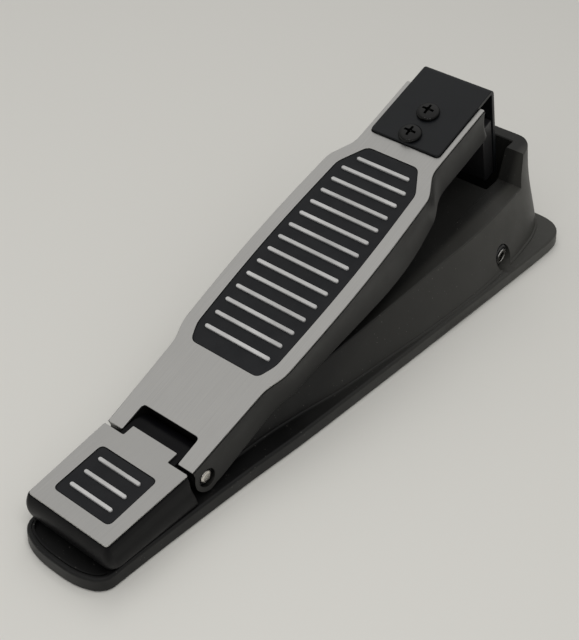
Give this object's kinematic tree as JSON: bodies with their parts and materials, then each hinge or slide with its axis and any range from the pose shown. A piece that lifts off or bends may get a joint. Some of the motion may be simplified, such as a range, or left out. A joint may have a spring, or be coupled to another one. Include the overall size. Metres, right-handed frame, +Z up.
{
  "type": "foot controller pedal",
  "caption": "Spring-return foot controller: ribbed heel plate, hinged footboard with a tread pad, and a toe bracket sliding in a slotted tower on a tapered base.",
  "frame": {"origin": "middle of the bounding box on the surface that the rubber feet stand on", "axes": "+Y from the heel to the toe tower, +X to the side with the cable socket, +Z up"},
  "size_m": [0.1236, 0.3427, 0.0971],
  "materials": {
    "base_plastic": "black ABS, finely textured, satin",
    "cover_plastic": "black ABS, fine texture",
    "heel_plastic": "black ABS, smooth satin",
    "board_plastic": "black ABS, satin",
    "silver_plate": "brushed lengthways, satin lacquer, black edge line",
    "tread_rubber": "black, fine grain",
    "silver_bar": "silver paint on the raised grip bars",
    "black_steel": "black powder coat, satin",
    "black_screw": "black oxide, semi gloss",
    "zinc_steel": "bright zinc",
    "guide_plastic": "black acetal",
    "pin_steel": "ground bright",
    "bush_plastic": "black nylon",
    "spring_steel": "bright spring wire",
    "soft_rubber": "black, matt",
    "circuit_green": "solder resist",
    "part_plastic": "black nylon",
    "nut_plating": "nickel plate",
    "wire_cover": "red PVC"
  },
  "bodies": {
    "base": {"base_housing": "base_plastic", "board_screw_1": "zinc_steel", "board_screw_2": "zinc_steel", "bottom_cover": "cover_plastic", "circuit_board": "circuit_green", "cover_screw_1": "black_screw", "cover_screw_2": "black_screw", "cover_screw_3": "black_screw", "cover_screw_4": "black_screw", "down_bumper": "soft_rubber", "heel_bar_1": "silver_bar", "heel_bar_2": "silver_bar", "heel_bar_3": "silver_bar", "heel_block": "heel_plastic", "heel_pad": "tread_rubber", "heel_plate": "silver_plate", "hinge_pin": "pin_steel", "jack_body": "part_plastic", "jack_nut": "nut_plating", "jack_wire_1": "wire_cover", "jack_wire_2": "wire_cover", "pot_body": "part_plastic", "return_spring": "spring_steel", "rubber_foot_1": "soft_rubber", "rubber_foot_2": "soft_rubber", "rubber_foot_3": "soft_rubber", "rubber_foot_4": "soft_rubber", "sensor_wire": "wire_cover"},
    "footboard": {"bracket": "black_steel", "bracket_nut_1": "zinc_steel", "bracket_nut_2": "zinc_steel", "bracket_screw_1": "black_screw", "bracket_screw_2": "black_screw", "footboard_body": "board_plastic", "footboard_plate": "silver_plate", "guide_block": "guide_plastic", "hinge_bush_left": "bush_plastic", "hinge_bush_right": "bush_plastic", "stop_bolt": "zinc_steel", "stop_washer": "soft_rubber", "tread_bar_01": "silver_bar", "tread_bar_02": "silver_bar", "tread_bar_03": "silver_bar", "tread_bar_04": "silver_bar", "tread_bar_05": "silver_bar", "tread_bar_06": "silver_bar", "tread_bar_07": "silver_bar", "tread_bar_08": "silver_bar", "tread_bar_09": "silver_bar", "tread_bar_10": "silver_bar", "tread_bar_11": "silver_bar", "tread_bar_12": "silver_bar", "tread_bar_13": "silver_bar", "tread_bar_14": "silver_bar", "tread_bar_15": "silver_bar", "tread_pad": "tread_rubber"},
    "sensor_slide": {"pot_slider": "part_plastic"}
  },
  "joints": [
    {"name": "footboard_hinge", "type": "hinge", "parent": "base", "child": "footboard", "pos_m": [0, -0.1018, 0.0166], "axis": [-1, 0, 0], "range_deg": [0, 4], "stiffness_Nm_per_rad": 58, "springref_deg": -4.01, "deforming": ["return_spring"]},
    {"name": "sensor_travel", "type": "slide", "parent": "base", "child": "sensor_slide", "axis": [0, 0, -1], "range_m": [0, 0.0178]}
  ],
  "couplings": [
    {"joint": "sensor_travel", "follows": "footboard_hinge", "m_per_rad": 0.2503}
  ]
}
